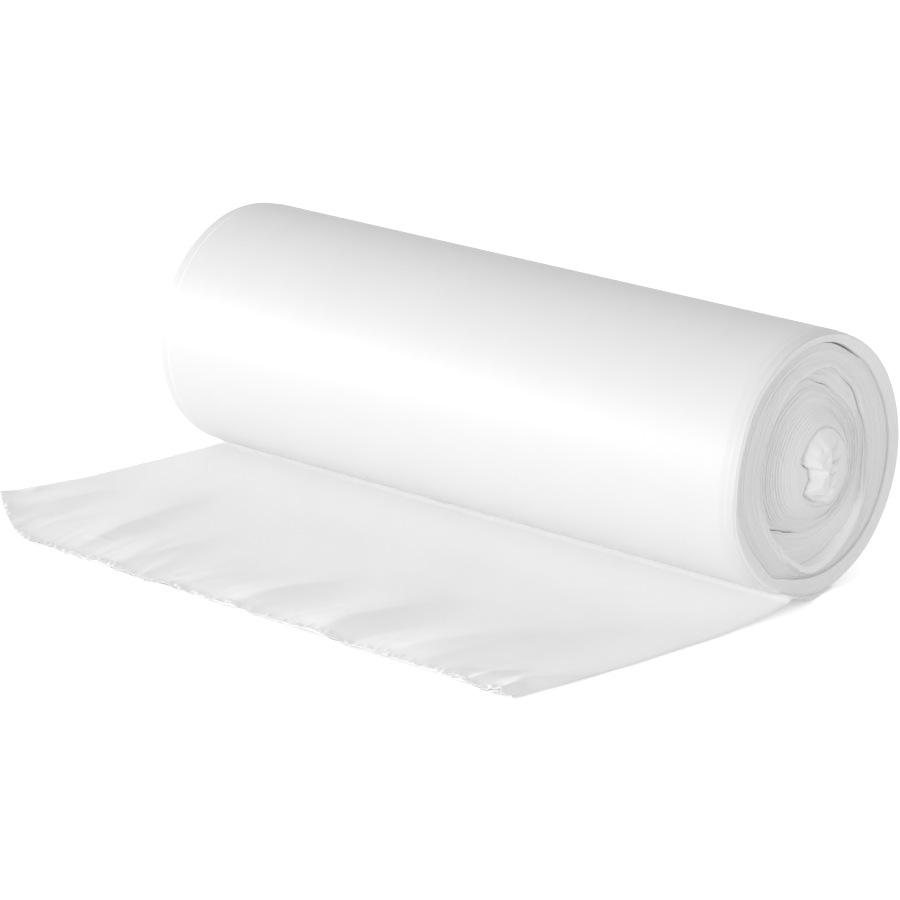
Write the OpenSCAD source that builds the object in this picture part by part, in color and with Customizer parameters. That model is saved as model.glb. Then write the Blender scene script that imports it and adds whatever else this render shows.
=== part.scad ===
// Coreless roll of bin bags, lying on its side with its outer end unrolled in front of it.
// The bags are one continuous folded band of film. The band is lofted along its own path:
// out from the crumpled heart, round every lap of the roll, down to the flat spot that the
// roll rests on, and forward over the floor to the torn end.
// X runs along the roll, -Y is where the loose end points, +Z is up. The origin is on the
// floor, in the middle of the flat spot.

/* [Band] */
// Width of the folded band, which is the length of the roll
band_w = 305; // [220:1:400]
// Thickness of the loose end, a few layers of film lying together
tail_t = 0.9; // [0.6:0.05:1.5]
// How far the folded edges of the band taper, as a share of its thickness
fold_taper = 0.35; // [0.2:0.05:0.8]

/* [Roll] */
// Outer diameter of the wound roll
roll_d = 104; // [80:1:130]
// Radial room of one lap, a bundle of turns that are pressed together
lap_pitch = 3.6; // [3:0.1:5]
// Air between two laps that lie tight
lap_air = 0.2; // [0.1:0.05:0.4]
// Radius at which the winding starts
heart_r = 2.4; // [1.8:0.1:4]
// How far the soft roll has sunk onto its flat spot
sag = 1.6; // [0.5:0.1:3]
// How far the roll's lower front is flattened, above where the loose end leaves it
flatten = 2.2; // [0:0.1:4]

/* [Ends of the roll] */
// Laps that belong to the crumpled heart
heart_laps = 4; // [2:0.5:6]
// How far the heart stands out of the near end
heart_out = 7; // [0:0.5:12]
// How far the heart's laps are dented out of round, as a share of their radius
heart_dent = 0.14; // [0:0.01:0.18]
// How unevenly the heart's folded edge stands
heart_crumple = 1.3; // [0:0.1:2]
// How far the laps' edges step in and out at the near end, as a multiple of the shifts below
wander = 1; // [0:0.1:1.5]
// Share of that which shows at the far end
far_wander = 0.3; // [0:0.05:1]
// How far the laps are squeezed out of round, as a multiple of the ovals and rises below
squeeze = 1; // [0:0.1:1.2]

/* [Loose end] */
// Reach of the loose end in front of the roll's middle
tail_l = 168; // [120:1:260]
// How far in front of the roll's middle the loose end leaves the roll
leave = 19; // [8:1:28]
// Length over which it then settles to the floor
settle = 66; // [20:1:90]
// Height of the folds in the loose end
fold_h = 4; // [1:0.5:8]
// Height of the small crinkles beside the torn end
ruffle_h = 0.8; // [0:0.1:1.6]
// How far the far corner is drawn back from the torn end, and how wide that stretch is
corner_back = 33; // [0:1:60]
corner_w = 52; // [30:1:90]
// How high the far corner curls up
corner_lift = 2.5; // [0:0.5:12]
// Depth of the torn end's teeth
tear = 1.4; // [0:0.1:2]
// How far the near side bows out where its folded edge has opened
bow = 7; // [0:0.5:12]
// How far the far side runs out towards the torn end
flare = 4; // [0:0.5:8]

/* [Hidden] */

roll_r = roll_d / 2;
axis_z = roll_r - sag;
tail_h = tail_t * axis_z / roll_r;
laps = (roll_r - tail_t - heart_r) / lap_pitch;

// Steps in one lap, at the outside and at the heart
outer_steps = 54;
heart_steps = 16;
// Points across the loose end, and rows along it
tail_cols = 42;
tail_rows = 18;

// Open gaps between laps: [laps in from the loose end, half length in laps, share of a lap]
gaps = [
    [0.95, 0.07, 0.20],
    [1.43, 0.12, 0.34],
    [4.36, 0.12, 0.30],
    [5.47, 0.08, 0.28],
    [5.90, 0.08, 0.55],
    [8.66, 0.20, 0.35]
];

// Where the laps stand along the roll: [laps in from the loose end, shift]
shifts = [
    [0, 0.5], [0.25, -0.3], [0.5, 0.8], [0.63, 2.2], [0.75, 4.5], [0.9, 2.6], [1, 1.2], [1.3, 0],
    [3, 0], [3.9, 1.8], [4.3, 1.2], [5, -3], [5.8, -2.6], [7.5, -1], [9.5, 1]
];

// How far out of round the laps are, taller than wide: [laps in from the loose end, share]
ovals = [[0, 0], [1, 0.01], [4, 0.08], [6, 0.035], [10, 0.04], [13, 0]];

// How far the middle of the laps lies above the roll's axis: [laps in from the loose end, rise]
rises = [[4, 0], [6, 2], [8, 1.5], [10, 0.7], [13, 0]];

// Folds of the loose end: [crest across, lean towards the roll, width, reach, share of height].
// A crest is at its share of the band's width where it meets the torn end.
folds = [
    [0.06, 0.14, 20, 80, 0.5],
    [0.172, -0.02, 14, 52, 0.35],
    [0.27, -0.29, 20, 110, 0.8],
    [0.323, 0.11, 16, 72, 0.5],
    [0.546, 0.145, 20, 76, 0.7],
    [0.684, 0.286, 26, 88, 0.85],
    [0.802, 0.55, 34, 110, 1.0],
    [0.936, 0.23, 12, 42, 0.6]
];
// Share of a fold's width that its steep side takes, and its share of height at the torn end
fold_steep = 0.42;
fold_low = 0.25;
// How far in from the torn end a fold reaches its full height
fold_in = 28;

// Degrees of each pair of waves: the heart's dents and crumples in a lap, the crinkles in 1 mm
dent_waves = [752, 1127];
crumple_waves = [1510, 2310];
ruffle_waves = [17, 5.3];
// Weights of the longer and the shorter wave of a pair
wave_mix = [0.6, 0.4];
// Laps over which the heart rises out of the near end
heart_step = 1.3;
// Direction of the flattened lower front, and half its spread
flat_at = 252;
flat_half = 62;
// Part of the first lap over which the flattening comes in, so that the band still starts level
flat_start = 0.15;
// Degrees of the near side's bow, which is widest at 90
bow_angle = 160;
// Power by which the drawn-back corner runs out, and by which the torn end's teeth fade inwards
corner_power = 1.3;
tear_power = 24;
// Power by which the rows of the loose end close up towards the torn end
row_power = 1.35;
// Share of a step that the last station leaves free before the heart's end
last_step = 0.3;

// A smooth step from 0 to 1, and a smooth hump of height 1 that is 0 outside -1 to 1
function ease(t) = let (c = min(1, max(0, t))) c * c * (3 - 2 * c);
function hump(t) = abs(t) < 1 ? pow(cos(90 * t), 2) : 0;
function sum(list) = list * [for (x = list) 1];

// Places on the path are counted in laps in from the loose end, so 0 is on the flat spot.
// Seen from the near end, the lap's direction turns anticlockwise on the way in.
function direction(v) = 360 * v - 90;
// Distance from the roll's axis down to a level plane at height h, in direction a
function level(a, h) = (axis_z - h) / max(0.01, -sin(a));
// The flat spot presses every lap below the axis by the same share, and so does the flattened front
function flat_share(a) = flatten / roll_r * hump((a - flat_at) / flat_half);
function flat(v) = flat_share((direction(v) + 360) % 360) * ease(v / flat_start);
function pressed(v) = min(1 - flat(v), level(direction(v), 0) / roll_r);

function waves(degrees, v) = wave_mix * [sin(degrees[0] * v), sin(degrees[1] * v + 50)];
function near_heart(v) = ease((v - laps + heart_laps) / heart_step);
function dent(v) = heart_dent * near_heart(v) * waves(dent_waves, v);
function oval(v) = squeeze * lookup(v, ovals) * cos(2 * direction(v) - 180);
function rise(v) = squeeze * lookup(v, rises) * sin(direction(v));
function gap(v) = lap_air + lap_pitch * sum([for (g = gaps) g[2] * hump((v - g[0]) / g[1])]);
function inner_face(v) =
    ((roll_r - tail_t - lap_pitch * v) * (1 + dent(v) + oval(v)) + rise(v)) * pressed(v);
function outer_face(v) =
    v >= 1 ? inner_face(v - 1) - gap(v - 1)
    : v > 0.5 ? min(roll_r * (1 - flat(v)), level(direction(v), tail_h + lap_air))
    : roll_r * pressed(v);

function crumple(v) = heart_crumple * near_heart(v) * waves(crumple_waves, v);
function shift(v) = wander * lookup(v, shifts) + heart_out * near_heart(v) + crumple(v);

// One cross-section of the wound band, from the far end to the near end and back
function lap_point(x, r, v) = [x, r * cos(direction(v)), axis_z + r * sin(direction(v))];
function lap_section(v) =
    let (
        ro = outer_face(v),
        ri = inner_face(v),
        taper = fold_taper * (ro - ri),
        far = far_wander * shift(v) - band_w / 2,
        near = shift(v) + band_w / 2
    )
    [
        lap_point(far + taper, ro, v),
        lap_point(near - taper, ro, v),
        lap_point(near, (ro + ri) / 2, v),
        lap_point(near - taper, ri, v),
        lap_point(far + taper, ri, v),
        lap_point(far, (ro + ri) / 2, v)
    ];

// The loose end: across is 0 at the far side and 1 at the near side, along is 0 to 1
function noise(n) = let (s = sin(n * 127.1) * 437.58) s - floor(s);
function side_far(along) = far_wander * shift(0) - band_w / 2 - flare * ease(along);
function side_near(along) = shift(0) + band_w / 2 + bow * sin(bow_angle * along);
function tail_x(across, along) =
    let (taper = fold_taper * tail_h, far = side_far(along) + taper, near = side_near(along) - taper)
    far + across * (near - far);
function corner(across) = pow(max(0, 1 - across * band_w / corner_w), corner_power);
function torn(across, along) = tear * (noise(across * tail_cols) - 1) * pow(along, tear_power);
function tail_y(across, along) = -along * (tail_l - corner_back * corner(across)) - torn(across, along);
// A fold rises steeply on its far side and falls slowly on its near side, and is low at the torn end
function fold(f, x, inward) =
    let (
        beyond = x - (f[0] - 0.5) * band_w - f[1] * inward,
        fade = ease(1 - inward / f[3]) * (fold_low + (1 - fold_low) * ease(inward / fold_in))
    )
    f[4] * fade * hump(beyond / (f[2] * (beyond < 0 ? fold_steep : 1)));
function ruffle(x, along) =
    ruffle_h * (1 + sin(ruffle_waves[0] * x) * sin(ruffle_waves[1] * x + 60)) * ease(along * 6 - 5);
// Height at which the loose end follows the roll's underside, and then settles to the floor
function under(y) =
    let (r = roll_r * (1 - flat_share(270 - asin(y / roll_r))))
    max(0, axis_z - sqrt(r * r - y * y) - tail_h - 2 * lap_air) * ease(3 * y / leave);
function lift(y) = under(min(y, leave)) * (1 - ease((y - leave) / settle));
function tail_z(across, along) =
    let (x = tail_x(across, along), inward = tail_l + tail_y(across, along))
    lift(-tail_y(across, along))
    + fold_h * min(1, sum([for (f = folds) fold(f, x, inward)])) + ruffle(x, along)
    + corner_lift * corner(across) * ease(along * 2 - 1);
function tail_point(across, along, h) =
    [tail_x(across, along), tail_y(across, along), tail_z(across, along) + h];
function side_point(x, across, along) =
    [x, tail_y(across, along), tail_z(across, along) + tail_h / 2];
function tail_section(along) = concat(
    [for (i = [0:tail_cols - 1]) tail_point(i / (tail_cols - 1), along, 0)],
    [side_point(side_near(along), 1, along)],
    [for (i = [tail_cols - 1:-1:0]) tail_point(i / (tail_cols - 1), along, tail_h)],
    [side_point(side_far(along), 0, along)]
);

// Stations on the path, from the heart outwards, then rows that close up towards the torn end
function steps(k) = round(outer_steps + (heart_steps - outer_steps) * k / laps);
lap_stations = concat(
    [laps],
    [
        for (k = [ceil(laps) - 1:-1:0], j = [steps(k):-1:1])
            let (v = k + j / steps(k)) if (v < laps - last_step / steps(k)) v
    ]
);
tail_stations = [for (j = [0:tail_rows]) 1 - pow(1 - j / tail_rows, row_power)];

// The loft through all the stations, as one closed skin
module bag_roll() {
    lap_n = len(lap_section(0));
    tail_n = 2 * tail_cols + 2;
    lap_last = (len(lap_stations) - 1) * lap_n;
    tail_0 = len(lap_stations) * lap_n;
    tail_last = tail_0 + tail_rows * tail_n;
    points = concat(
        [for (v = lap_stations) each lap_section(v)],
        [for (t = tail_stations) each tail_section(t)]
    );
    // The skin between two neighbouring sections of n points, the first of them starting at point a
    function band(a, n) =
        [for (k = [0:n - 1]) let (m = (k + 1) % n) [a + k, a + n + k, a + n + m, a + m]];
    heart_cap = [[for (k = [0:lap_n - 1]) k]];
    lap_faces = [for (i = [0:len(lap_stations) - 2]) each band(i * lap_n, lap_n)];
    // The last lap section has 6 points and the first tail section has many along each face
    below = [for (i = [0:tail_cols - 1]) tail_0 + i];
    above = [for (i = [tail_cols + 1:2 * tail_cols]) tail_0 + i];
    near_nose = tail_0 + tail_cols;
    far_nose = tail_0 + tail_n - 1;
    joint_faces = [
        concat([lap_last], below, [lap_last + 1]),
        [lap_last + 1, below[tail_cols - 1], near_nose, lap_last + 2],
        [lap_last + 2, near_nose, above[0], lap_last + 3],
        concat([lap_last + 3], above, [lap_last + 4]),
        [lap_last + 4, above[tail_cols - 1], far_nose, lap_last + 5],
        [lap_last + 5, far_nose, below[0], lap_last]
    ];
    tail_faces = [for (j = [0:tail_rows - 1]) each band(tail_0 + j * tail_n, tail_n)];
    // The torn end, closed from its lower edge to its upper edge
    low = function(i) tail_last + i;
    high = function(i) tail_last + 2 * tail_cols - i;
    end_cap = concat(
        [for (i = [0:tail_cols - 2]) [low(i), high(i), high(i + 1), low(i + 1)]],
        [
            [low(tail_cols - 1), high(tail_cols - 1), tail_last + tail_cols],
            [low(0), tail_last + tail_n - 1, high(0)]
        ]
    );
    color("white")
        polyhedron(
            points = points,
            faces = concat(heart_cap, lap_faces, joint_faces, tail_faces, end_cap),
            convexity = 20
        );
}

bag_roll();
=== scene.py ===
"""Bin bag roll: a coreless roll of white film bags with its outer end unrolled in front of it.

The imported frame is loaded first. Each part of the film is then made as a piece of its own, in
metres and in the frame's axes: X along the roll, -Y towards the loose end, Z up from the floor.
"""
import logging
import math
from dataclasses import dataclass
from enum import Enum
from typing import Callable

import bpy
from mathutils import Matrix, Vector, noise


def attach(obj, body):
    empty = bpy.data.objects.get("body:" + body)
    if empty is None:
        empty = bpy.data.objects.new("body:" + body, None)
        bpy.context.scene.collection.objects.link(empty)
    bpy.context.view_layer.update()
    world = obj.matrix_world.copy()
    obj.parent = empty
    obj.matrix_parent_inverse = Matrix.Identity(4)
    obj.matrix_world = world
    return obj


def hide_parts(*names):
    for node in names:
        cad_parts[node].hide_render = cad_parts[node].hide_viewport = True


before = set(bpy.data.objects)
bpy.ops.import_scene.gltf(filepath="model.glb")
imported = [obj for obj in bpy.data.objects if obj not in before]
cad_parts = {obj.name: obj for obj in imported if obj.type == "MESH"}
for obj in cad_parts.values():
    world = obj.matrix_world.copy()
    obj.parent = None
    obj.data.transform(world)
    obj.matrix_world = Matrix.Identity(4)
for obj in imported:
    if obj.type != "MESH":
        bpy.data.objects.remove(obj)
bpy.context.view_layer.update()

LOG = logging.getLogger("bag_roll")
MM = 0.001
NODE = "bag_roll"
BODY = "root"
# Points closer together than this are one point
WELD = 1e-7
# How far apart two seeds lie in the noise, on its second and third direction
SEED_Y, SEED_Z = 7.31, 3.17

Table = tuple[tuple[float, float], ...]
Place = tuple[float, float, float]


class End(Enum):
    """The two ends of the roll, by the side of X that they face."""

    FAR = -1
    NEAR = 1


class Layer(Enum):
    """The two layers of film of the loose end."""

    LOWER = 0
    UPPER = 1


def ease(t: float) -> float:
    """Steps smoothly from 0 to 1 as t goes from 0 to 1."""
    c = min(1.0, max(0.0, t))
    return c * c * (3 - 2 * c)


def hump(t: float) -> float:
    """Gives a smooth hump of height 1 that is 0 outside -1 to 1."""
    return math.cos(math.pi / 2 * t) ** 2 if abs(t) < 1 else 0.0


def along_table(table: Table, x: float) -> float:
    """Reads a smooth curve off a short table.

    Args:
        table: Pairs of place and value, with rising places.
        x: The place to read.

    Returns:
        The value there, held level past both ends.
    """
    if x <= table[0][0]:
        return table[0][1]
    for (x0, v0), (x1, v1) in zip(table, table[1:]):
        if x < x1:
            return v0 + (v1 - v0) * ease((x - x0) / (x1 - x0))
    return table[-1][1]


def round_table(table: Table, degrees: float) -> float:
    """Reads a smooth closed curve off a table of angles.

    Args:
        table: Pairs of angle in degrees and value, with rising angles within one turn.
        degrees: The angle to read.

    Returns:
        The value at that angle.
    """
    first = table[0][0]
    d = first + (degrees - first) % 360
    return along_table(table + ((first + 360, table[0][1]),), d)


@dataclass(frozen=True)
class Wander:
    """A value that wanders along a line.

    Attributes:
        size: How far it goes up or down, nearly.
        span: Length of its waves.
        seed: What sets it apart from others.
    """

    size: float
    span: float
    seed: float

    def at(self, x: float, side: int = 1) -> float:
        """Gives the value at a place.

        Args:
            x: The place.
            side: 1 or -1, which give two lines of their own.

        Returns:
            The value there.
        """
        seed = self.seed * side
        place = Vector((x / self.span, seed * SEED_Y, seed * SEED_Z))
        return 2 * self.size * noise.noise(place)


@dataclass(frozen=True)
class Ripple:
    """A height that wanders over a surface.

    Attributes:
        size: How far it goes up or down, nearly.
        fine_x: How fast it changes along the first direction.
        fine_y: How fast it changes along the second.
        seed: What sets it apart from others.
        row: Where its second direction starts.
    """

    size: float
    fine_x: float
    fine_y: float = 0.0
    seed: float = 0.0
    row: float = 0.0

    def at(self, x: float, y: float = 0.0) -> float:
        """Gives the height at a place, up or down."""
        place = Vector((x * self.fine_x, y * self.fine_y + self.row, self.seed))
        return self.size * noise.noise(place)

    def creased(self, x: float, y: float = 0.0) -> float:
        """Gives the height at a place with all of it turned up, so that it meets in creases."""
        return abs(self.at(x, y))


class Bench:
    """The tools that every piece is made with."""

    @staticmethod
    def clear() -> None:
        """Leaves nothing selected."""
        if bpy.context.object and bpy.context.object.mode != "OBJECT":
            bpy.ops.object.mode_set(mode="OBJECT")
        bpy.ops.object.select_all(action="DESELECT")

    @staticmethod
    def film(
        name: str,
        columns: int,
        rows: int,
        place: Callable[[int, int], Vector],
        tube: bool = False,
        capped: bool = False,
    ) -> bpy.types.Object:
        """Lays out a flat grid of film and carries each of its points to its place.

        Args:
            name: The piece's name.
            columns: Faces across the grid.
            rows: Faces along the grid.
            place: Gives the place of the point in a column and a row.
            tube: Whether the last column lies on the first, which closes the film to a tube.
            capped: Whether the tube's ends are closed.

        Returns:
            The piece, with its faces pointing outwards.
        """
        Bench.clear()
        bpy.ops.mesh.primitive_grid_add(x_subdivisions=columns, y_subdivisions=rows, size=2)
        piece = bpy.context.object
        piece.name = piece.data.name = name
        for vertex in piece.data.vertices:
            column = round((vertex.co.x + 1) / 2 * columns)
            row = round((vertex.co.y + 1) / 2 * rows)
            vertex.co = place(column, row)
        bpy.ops.object.mode_set(mode="EDIT")
        bpy.ops.mesh.select_all(action="SELECT")
        if tube:
            bpy.ops.mesh.remove_doubles(threshold=WELD)
        if capped:
            bpy.ops.mesh.select_all(action="DESELECT")
            bpy.ops.mesh.select_mode(type="EDGE")
            bpy.ops.mesh.select_non_manifold(extend=False)
            bpy.ops.mesh.fill_holes(sides=0)
        bpy.ops.mesh.select_all(action="SELECT")
        bpy.ops.mesh.normals_make_consistent(inside=False)
        bpy.ops.object.mode_set(mode="OBJECT")
        return piece

    @staticmethod
    def thicken(piece: bpy.types.Object, thickness: float) -> None:
        """Gives a film its thickness, half of it to each side.

        Args:
            piece: The film.
            thickness: Its thickness.
        """
        Bench.clear()
        bpy.context.view_layer.objects.active = piece
        piece.select_set(True)
        modifier = piece.modifiers.new("solidify", "SOLIDIFY")
        modifier.thickness = thickness
        modifier.offset = 0.0
        bpy.ops.object.modifier_apply(modifier=modifier.name)

    @staticmethod
    def finish(piece: bpy.types.Object, material: bpy.types.Material, sharp: float) -> None:
        """Smooths, dresses and enters a finished piece.

        Args:
            piece: The finished piece.
            material: Its finish.
            sharp: The angle in degrees past which an edge stays sharp.
        """
        Bench.clear()
        bpy.context.view_layer.objects.active = piece
        piece.select_set(True)
        bpy.ops.object.shade_smooth_by_angle(angle=math.radians(sharp))
        piece.data.materials.clear()
        piece.data.materials.append(material)
        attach(piece, BODY)
        LOG.info("%s: %d faces", piece.name, len(piece.data.polygons))


@dataclass
class Roll:
    """The sizes that all the film of the roll shares."""

    width: float = 305 * MM
    radius: float = 52 * MM
    sag: float = 1.6 * MM
    tail_layer: float = 0.35 * MM
    # The flattened lower side: depth at both ends, direction of its middle and half its spread
    far_flatten: float = 1.0 * MM
    near_flatten: float = 2.5 * MM
    flat_at: float = 256
    flat_half: float = 68

    @property
    def axis_z(self) -> float:
        """Height of the roll's axis above the floor."""
        return self.radius - self.sag

    def flat_share(self, x: float, degrees: float) -> float:
        """Gives the share of the radius that the flattened lower side loses.

        Args:
            x: Place along the roll.
            degrees: Direction from the axis.

        Returns:
            The share, which is 0 above the flattened side.
        """
        t = min(1.0, max(0.0, x / self.width + 0.5))
        depth = self.far_flatten + (self.near_flatten - self.far_flatten) * t
        return depth / self.radius * hump((degrees % 360 - self.flat_at) / self.flat_half)

    def underside(self, x: float, front: float) -> float:
        """Gives the height of the roll's underside.

        Args:
            x: Place along the roll.
            front: Distance in front of the roll's middle.

        Returns:
            The height over the floor.
        """
        degrees = 270 - math.degrees(math.asin(min(1.0, front / self.radius)))
        r = self.radius * (1 - self.flat_share(x, degrees))
        return max(self.tail_layer, self.axis_z - math.sqrt(max(0.0, r * r - front * front)))

    def point(self, x: float, radius: float, degrees: float) -> Vector:
        """Gives a point on the wound film.

        Args:
            x: Place along the roll.
            radius: Distance from the axis where nothing presses the roll.
            degrees: Direction from the axis, where 0 is the back, 90 the top and 180 the front.

        Returns:
            The point, with the lower side flattened and clear of the loose end below it.
        """
        a = math.radians(degrees)
        below = -math.sin(a)
        pressed = 1 - self.flat_share(x, degrees)
        if below > 0:
            pressed = min(pressed, (self.axis_z - self.tail_layer) / (self.radius * below))
        r = radius * pressed
        return Vector((x, r * math.cos(a), self.axis_z + r * math.sin(a)))


@dataclass
class OuterWrap:
    """The outermost turns, pressed into one smooth wrap with rounded shoulders."""

    roll: Roll
    steps: int = 240
    sharp: float = 50
    # Inner face of the wrap: direction and radius
    inside: Table = (
        (-150, 44.0 * MM),
        (-134, 44.4 * MM),
        (-121, 46.3 * MM),
        (-111, 45.0 * MM),
        (-97, 44.6 * MM),
        (-77, 44.7 * MM),
        (-30, 44.6 * MM),
        (31, 44.4 * MM),
        (57, 45.6 * MM),
        (84, 48.0 * MM),
        (130, 46.8 * MM),
        (180, 45.8 * MM),
    )
    # How far the wrap stands out along the roll at its near end, by direction
    near_edge: Table = (
        (-119, 1.2 * MM),
        (-90, 0.6 * MM),
        (-60, -0.5 * MM),
        (0, -0.3 * MM),
        (60, 0.0 * MM),
        (90, 0.8 * MM),
        (132, 2.2 * MM),
        (160, 3.7 * MM),
        (180, 3.8 * MM),
        (205, 2.6 * MM),
    )
    far_edge: float = 0.3 * MM
    # How far both ends wander in and out, and how often round the roll
    edge_drift: float = 0.35 * MM
    edge_waves: float = 2
    near_shoulder: float = 0.25 * MM
    far_shoulder: float = 0.8 * MM
    shoulder_length: float = 1.0 * MM
    # Edges of single films that show as small steps: distance in from the end, height
    near_films: Table = (
        (1.5 * MM, 0.16 * MM),
        (2.9 * MM, 0.20 * MM),
        (4.3 * MM, 0.12 * MM),
        (6.2 * MM, 0.12 * MM),
    )
    far_films: Table = ((5.4 * MM, 0.38 * MM),)
    # Length of such a step, how far it wanders, and the degrees in which it does
    film_step: float = 0.6 * MM
    film_drift: float = 0.4 * MM
    film_span: float = 75
    # Where the near end rests on the film below it and keeps its full radius
    rest_at: float = 274
    rest_half: float = 48
    # The rows of points beside both ends, in millimetres in from them
    insets: tuple[float, ...] = (
        0.0, 0.2, 0.5, 0.9, 1.2, 1.8, 2.2, 2.6, 3.2, 3.9, 4.3, 4.7, 5.2, 5.6, 6.0, 6.5, 7.5, 10, 16
    )
    # The rows between them: parts of the length, and how many at each end have none
    parts: int = 24
    end_parts: int = 3
    # The edges of the wrap's own turns, as ridges on both end faces
    ridges: int = 6
    ridge_points: int = 4
    ridge_height: float = 0.16 * MM
    ridge_power: float = 0.7
    # The near end face bulges out, and rounds off over the first share of its height
    bulge: float = 0.5 * MM
    round_share: float = 0.16
    # It sinks this far below the roll's nominal end beside the seam, from this share of its
    # height on and at this rate
    seam_drop: float = 0.4 * MM
    seam_start: float = 0.1
    seam_rate: float = 1.15
    # A shelf behind the seam to the inner turns, which leaves one stretch of the seam open
    shelf_height: float = 0.8 * MM
    shelf_start: float = 0.25 * MM
    shelf_depth: float = 0.6 * MM
    shelf_end: float = 14 * MM
    open_at: float = 70
    open_half: float = 26

    def inner_radius(self, degrees: float) -> float:
        """Gives the radius of the wrap's inner face in a direction."""
        return round_table(self.inside, degrees)

    def outer_radius(self, inset: float, degrees: float, end: End) -> float:
        """Gives the wrap's radius near an end.

        Args:
            inset: Distance in from that end of the wrap.
            degrees: Direction round the roll.
            end: The end.

        Returns:
            The radius of the outer face there.
        """
        near = end is End.NEAR
        depth = self.near_shoulder if near else self.far_shoulder
        films = self.near_films if near else self.far_films
        kept = 1 - hump((degrees % 360 - self.rest_at) / self.rest_half) if near else 1.0
        t = min(1.0, inset / self.shoulder_length)
        radius = self.roll.radius - kept * depth * (1 - t) ** 3
        for place, height in films:
            drift = Wander(self.film_drift, self.film_span, place / MM + end.value).at(degrees)
            radius -= kept * height * ease((place + drift - inset) / self.film_step + 0.5)
        return radius

    def edge(self, degrees: float, end: End) -> float:
        """Gives the place along the roll where the wrap ends.

        Args:
            degrees: Direction round the roll.
            end: The end.

        Returns:
            The place of the wrap's end on X.
        """
        out = round_table(self.near_edge, degrees) if end is End.NEAR else self.far_edge
        a = math.radians(degrees)
        y, z = self.edge_waves * math.cos(a), self.edge_waves * math.sin(a)
        drift = self.edge_drift * noise.noise(Vector((y, z, end.value)))
        return end.value * (self.roll.width / 2 + out + drift)

    def ridge(self, t: float) -> float:
        """Gives the height of the ridges at a share of an end face, from 0 to 1."""
        return self.ridge_height * abs(math.sin(math.pi * self.ridges * t)) ** self.ridge_power

    def outer_face(self, far: float, near: float, degrees: float) -> list[tuple[float, float]]:
        """Gives the outer face's section from the far to the near shoulder.

        Args:
            far: Place of the far end on X.
            near: Place of the near end on X.
            degrees: Direction round the roll.

        Returns:
            Pairs of place on X and radius.
        """
        insets = [inset * MM for inset in self.insets]
        points = []
        for inset in insets:
            points.append((far + inset, self.outer_radius(inset, degrees, End.FAR)))
        for k in range(self.end_parts, self.parts - self.end_parts + 1):
            points.append((far + (near - far) * k / self.parts, self.roll.radius))
        for inset in reversed(insets):
            points.append((near - inset, self.outer_radius(inset, degrees, End.NEAR)))
        return points

    def section(self, degrees: float) -> list[Vector]:
        """Gives the wrap's section in one direction, once round from the far end.

        Args:
            degrees: Direction round the roll.

        Returns:
            The points of the section, the first of them on the far shoulder's edge.
        """
        far, near = self.edge(degrees, End.FAR), self.edge(degrees, End.NEAR)
        points = self.outer_face(far, near, degrees)
        tip_near, tip_far = points[-1][1], points[0][1]
        inner = self.inner_radius(degrees)
        count = self.ridge_points * self.ridges
        shares = [k / count for k in range(1, count)]
        drop = near - self.roll.width / 2 + self.seam_drop
        for t in shares:
            slope = drop * ease(t * self.seam_rate - self.seam_start)
            round_off = self.bulge * (1 - min(1.0, t / self.round_share)) ** 2
            x = near + self.ridge(t) - slope - round_off + self.bulge
            points.append((x, tip_near + (inner - tip_near) * t))
        shelf = inner - self.shelf_height * (1 - hump((degrees - self.open_at) / self.open_half))
        seam = near - drop
        points += [(seam, inner), (seam - self.shelf_start, inner)]
        points += [(seam - self.shelf_depth, shelf), (near - self.shelf_end, shelf)]
        points += [(far + self.shelf_end, inner), (far, inner)]
        for t in shares:
            points.append((far - self.ridge(t), inner + (tip_far - inner) * t))
        return [self.roll.point(x, r, degrees) for x, r in points]

    def build(self, material: bpy.types.Material) -> bpy.types.Object:
        """Makes the wrap.

        Args:
            material: The finish of the film.

        Returns:
            The piece.
        """
        sections = [self.section(360 * k / self.steps) for k in range(self.steps)]
        count = len(sections[0])

        def place(column: int, row: int) -> Vector:
            """Gives the place of a point of the grid."""
            return sections[row % self.steps][column % count].copy()

        piece = Bench.film("outer_wrap", count, self.steps, place, tube=True)
        Bench.finish(piece, material, self.sharp)
        return piece


@dataclass(frozen=True)
class Gap:
    """A place where two neighbouring turns stand apart.

    Attributes:
        turn: The turn whose outer side it opens on, counted in from the wrap.
        angle: Direction of its middle in degrees.
        half_span: Half its length in degrees.
        width: How far it opens.
    """

    turn: float
    angle: float
    half_span: float
    width: float


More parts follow.
